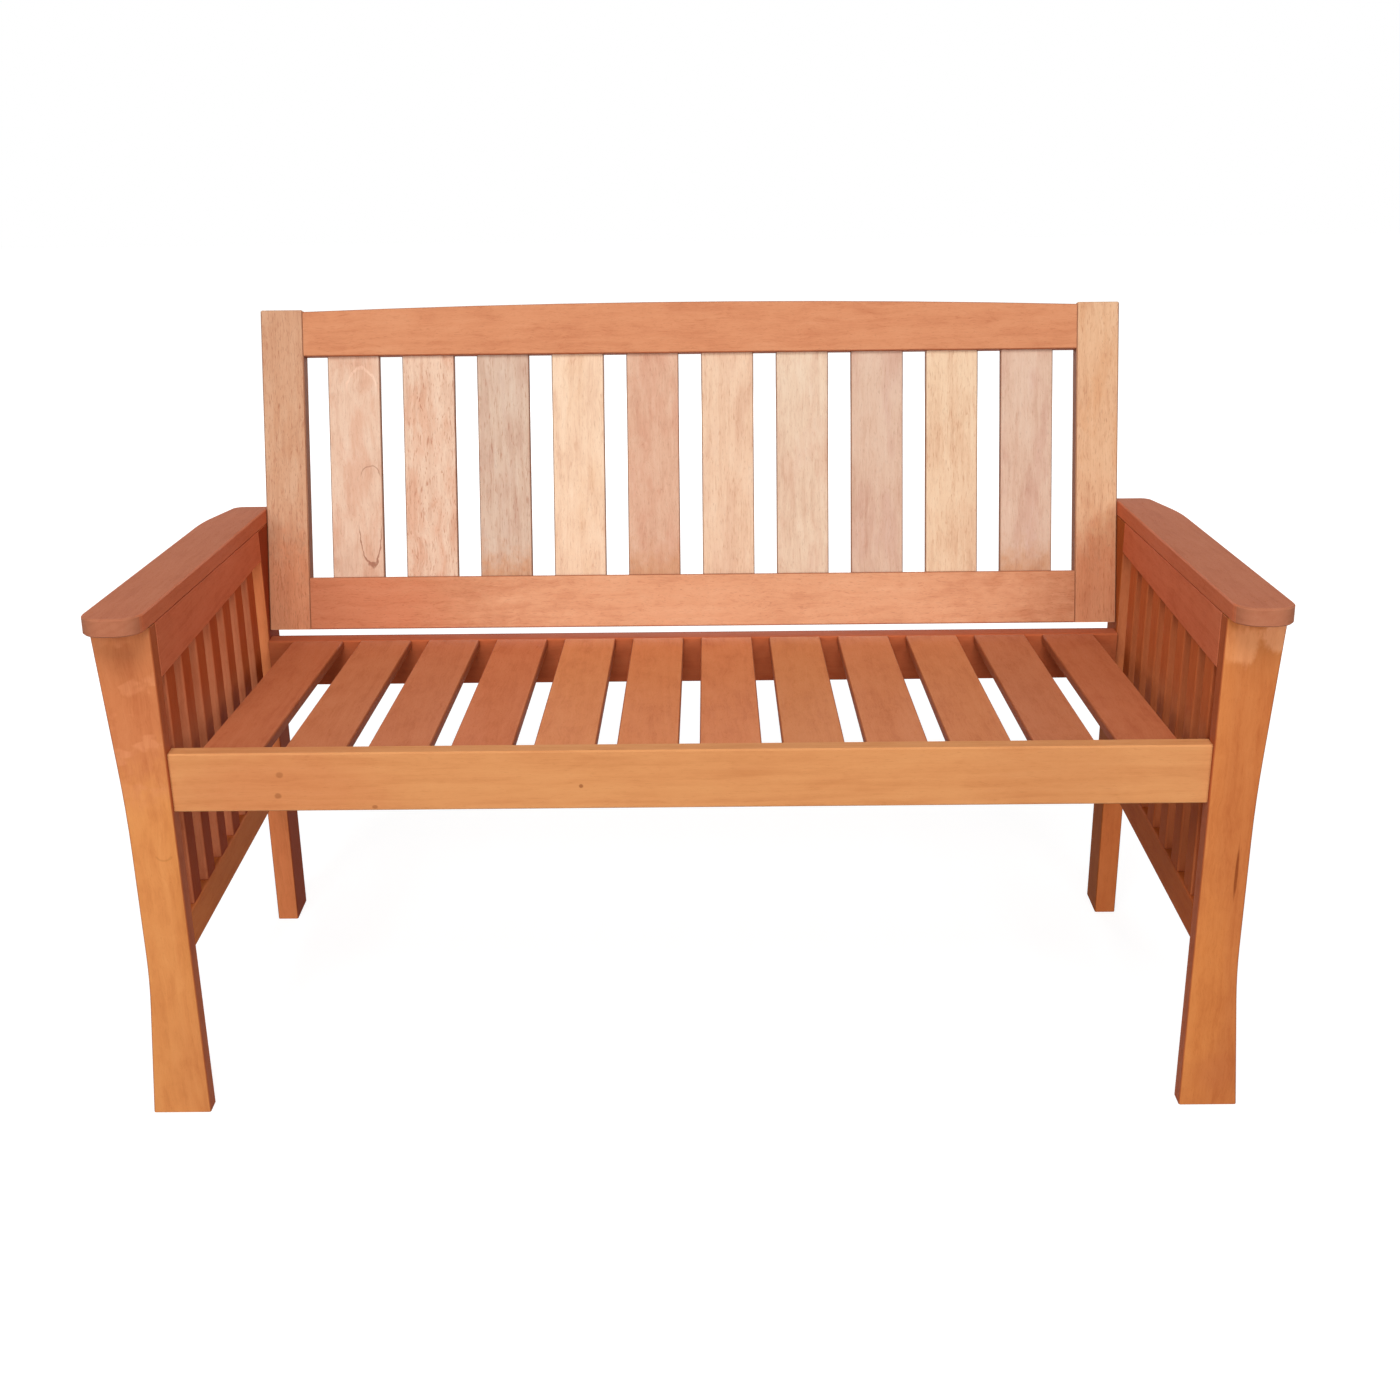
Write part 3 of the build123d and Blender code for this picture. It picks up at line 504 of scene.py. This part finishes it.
# Tone, another tone in it and its share, bend of the grain, strength of rings and flecks, marks
BACK_SLATS = (
    ((0.775, 0.54, 0.395), (0.72, 0.44, 0.305), 0.35, 0.014, 0.04, 0.12, arches),
    ((0.79, 0.56, 0.41), (0.73, 0.44, 0.3), 0.5, 0.012, 0.1, 0.4, None),
    ((0.665, 0.49, 0.37), (0.62, 0.43, 0.325), 0.4, 0.003, 0.12, 0.3, shaded_warm_foot),
    ((0.85, 0.615, 0.43), (0.82, 0.565, 0.375), 0.25, 0.01, 0.06, 0.15, None),
    ((0.705, 0.44, 0.305), (0.66, 0.37, 0.25), 0.35, 0.014, 0.04, 0.12, shaded_warm_foot),
    ((0.79, 0.55, 0.38), (0.75, 0.5, 0.345), 0.3, 0.006, 0.06, 0.2, None),
    ((0.765, 0.575, 0.42), (0.72, 0.5, 0.36), 0.3, 0.01, 0.08, 0.15, None),
    ((0.69, 0.48, 0.355), (0.645, 0.42, 0.315), 0.3, 0.008, 0.05, 0.12, None),
    ((0.8, 0.57, 0.38), (0.745, 0.495, 0.32), 0.3, 0.006, 0.08, 0.25, None),
    ((0.7, 0.485, 0.36), (0.65, 0.415, 0.31), 0.3, 0.008, 0.05, 0.12, shaded_warm_foot),
)
for number, (tone, other, blend, bend, lines, specks, marks) in enumerate(BACK_SLATS, 1):
    name = f"back_slat_{number}"
    side_of_pith = 0.03 if number % 2 else -0.03
    oiled_wood(name, tone, BACK_GRAIN, BACK_FACE, 50 + number, painted_sides=(0.36, 0.16, 0.09), other=other,
               blend=blend, bend=bend, pith=(side_of_pith, 0.05), rings=lines, flecks=specks, fibres=0.2,
               pores=0.25, marks=marks)
    ease(name)

# Bolts and nuts.
# Cap bolts and square nuts of bright zinc-plated steel, turned and a little dulled. They hold the
# seat rails and the back panel to the legs, with the nuts let into slots in the rails and stiles.
ZINC = (0.64, 0.65, 0.66)
ZINC_BLOOM = (0.5, 0.52, 0.56)
RUBBED_ZINC = (0.76, 0.75, 0.73)


def zinc_steel(name):
    """Zinc plating: a faint blue-grey bloom in patches, fine turning lines and rubbed edges."""
    metal, tree, shader = new_material(name + "_zinc")
    at = add_node(tree, "ShaderNodeTexCoord").outputs["Object"]
    bloom = add_node(tree, "ShaderNodeTexNoise", {"Vector": at, "Scale": 260.0, "Detail": 4.0}).outputs[0]
    lines = add_node(tree, "ShaderNodeTexWave", {"Vector": at, "Scale": 900.0, "Distortion": 1.5},
                     bands_direction="X").outputs["Fac"]
    plating = tint(tree, band(tree, bloom, 0.4, 0.65), ZINC, ZINC_BLOOM)
    rubbed = arrises(tree, add_node(tree, "ShaderNodeNewGeometry").outputs["True Normal"], 0.0004, 0.9)
    plating = tint(tree, reckon(tree, "MULTIPLY", rubbed, 0.6), plating, RUBBED_ZINC)
    tree.links.new(plating, shader.inputs["Base Color"])
    tree.links.new(reckon(tree, "MULTIPLY_ADD", bloom, 0.3, 0.2), shader.inputs["Roughness"])
    turned = add_node(tree, "ShaderNodeBump", {"Height": lines, "Strength": 0.15, "Distance": 0.0001})
    tree.links.new(turned.outputs[0], shader.inputs["Normal"])
    shader.inputs["Metallic"].default_value = 1.0
    dress(name, metal)


for name in ("seat_rail_bolts", "back_panel_bolts", "square_nuts"):
    zinc_steel(name)
    ease(name, 0.0002)

# The floor and the room.
# A white painted floor that runs into a white room, so that the settle stands alone with a faint
# shadow round its feet. Far from the settle the floor is as white as the room behind it.
FLOOR_SIZE = 16
FLOOR_DROP = 0.0004  # keeps the feet and the floor out of one plane
NEAR = 0.9  # from here the floor's glow rises
FAR = 1.9  # and from here it is the room's white
FLOOR_GLOW = 0.87
FLOOR_BOUNCE = (0.45, 0.45, 0.45, 1)  # what the settle gets back from the floor
FLOOR_SHADOW = (0.3, 0.3, 0.3, 1)  # the part of the floor's look that a shadow can darken
ROOM_LIGHT = 0.16
WHITE = (1, 1, 1, 1)
bpy.ops.mesh.primitive_plane_add(size=FLOOR_SIZE, location=(0, 0, -FLOOR_DROP))
floor = bpy.context.object
floor.name = "floor"
paint = bpy.data.materials.new("floor_paint")
paint.use_nodes = True
tree = paint.node_tree
tree.nodes.clear()


def looked_at(tree):
    """1 where the camera sees the surface, straight or in a gloss, and 0 where light bounces off it."""
    seen = add_node(tree, "ShaderNodeLightPath")
    mirrored = reckon(tree, "MAXIMUM", seen.outputs["Is Glossy Ray"], seen.outputs["Is Transmission Ray"])
    return reckon(tree, "MAXIMUM", seen.outputs["Is Camera Ray"], mirrored)


at = add_node(tree, "ShaderNodeTexCoord").outputs["Object"]
away = add_node(tree, "ShaderNodeVectorMath", {0: at}, operation="LENGTH").outputs["Value"]
glow = add_node(tree, "ShaderNodeMapRange",
                {"Value": away, "From Min": NEAR, "From Max": FAR, "To Min": FLOOR_GLOW, "To Max": 1.0},
                interpolation_type="SMOOTHSTEP")
bounce = add_node(tree, "ShaderNodeBsdfDiffuse", {"Color": FLOOR_BOUNCE})
shadow = add_node(tree, "ShaderNodeBsdfDiffuse", {"Color": FLOOR_SHADOW})
white = add_node(tree, "ShaderNodeEmission", {"Color": WHITE, "Strength": glow.outputs["Result"]})
shown = add_node(tree, "ShaderNodeAddShader", {0: shadow.outputs[0], 1: white.outputs[0]})
floor_look = add_node(tree, "ShaderNodeMixShader",
                      {0: looked_at(tree), 1: bounce.outputs[0], 2: shown.outputs[0]})
add_node(tree, "ShaderNodeOutputMaterial", {"Surface": floor_look.outputs[0]})
floor.data.materials.append(paint)

world = bpy.context.scene.world or bpy.data.worlds.new("studio")
bpy.context.scene.world = world
world.use_nodes = True
tree = world.node_tree
tree.nodes.clear()
level = add_node(tree, "ShaderNodeMapRange", {"Value": looked_at(tree), "To Min": ROOM_LIGHT, "To Max": 1.0})
sky = add_node(tree, "ShaderNodeBackground", {"Color": WHITE, "Strength": level.outputs["Result"]})
add_node(tree, "ShaderNodeOutputWorld", {"Surface": sky.outputs[0]})

# The lamps.
# Four soft boxes: a large one high in front of the settle, two beside the camera, which light the
# fronts evenly and the slats' edges across the seat, and a smaller one behind it for the rear.

# Name, place, height of its aim over the middle, width and height of the lamp, watts
LAMPS = (
    ("high_softbox", (-0.3, -2.6, 4.0), 0.45, 2.6, 2.0, 121),
    ("rear_softbox", (0, 3.8, 1.0), 0.5, 1.6, 1.0, 55),
    ("left_softbox", (-1.3, -3.6, 1.5), 0.45, 0.9, 1.2, 38),
    ("right_softbox", (1.3, -3.6, 1.5), 0.45, 0.9, 1.2, 38),
)
for name, place, aim, width, height, watts in LAMPS:
    lamp = bpy.data.lights.new(name, "AREA")
    lamp.shape = "RECTANGLE"
    lamp.size = width
    lamp.size_y = height
    lamp.energy = watts
    holder = bpy.data.objects.new(name, lamp)
    bpy.context.scene.collection.objects.link(holder)
    holder.location = place
    holder.rotation_euler = (Vector((0, 0, aim)) - Vector(place)).to_track_quat("-Z", "Y").to_euler()

# The camera.
# It stands a little right of the middle, above the height of the arms, and looks down, as the
# photo's own vanishing points say. The angles are in degrees.
CAMERA_PLACE = (0.02376, -1.98830, 1.14783)
TURN = 0.3941
DOWN = 21.0123
ROLL = -0.6631
FOCAL_PIXELS = 1778.39
PHOTO_PIXELS = 1400
SENSOR_WIDTH = 36
camera_data = bpy.data.cameras.new("camera")
camera_data.sensor_width = SENSOR_WIDTH
camera_data.lens = FOCAL_PIXELS / PHOTO_PIXELS * SENSOR_WIDTH
camera = bpy.data.objects.new("camera", camera_data)
bpy.context.scene.collection.objects.link(camera)
camera.matrix_world = (
    Matrix.Translation(CAMERA_PLACE)
    @ Matrix.Rotation(radians(TURN), 4, "Z")
    @ Matrix.Rotation(radians(90 - DOWN), 4, "X")
    @ Matrix.Rotation(radians(ROLL), 4, "Z")
)
bpy.context.scene.camera = camera
bpy.context.scene.view_settings.view_transform = "Standard"
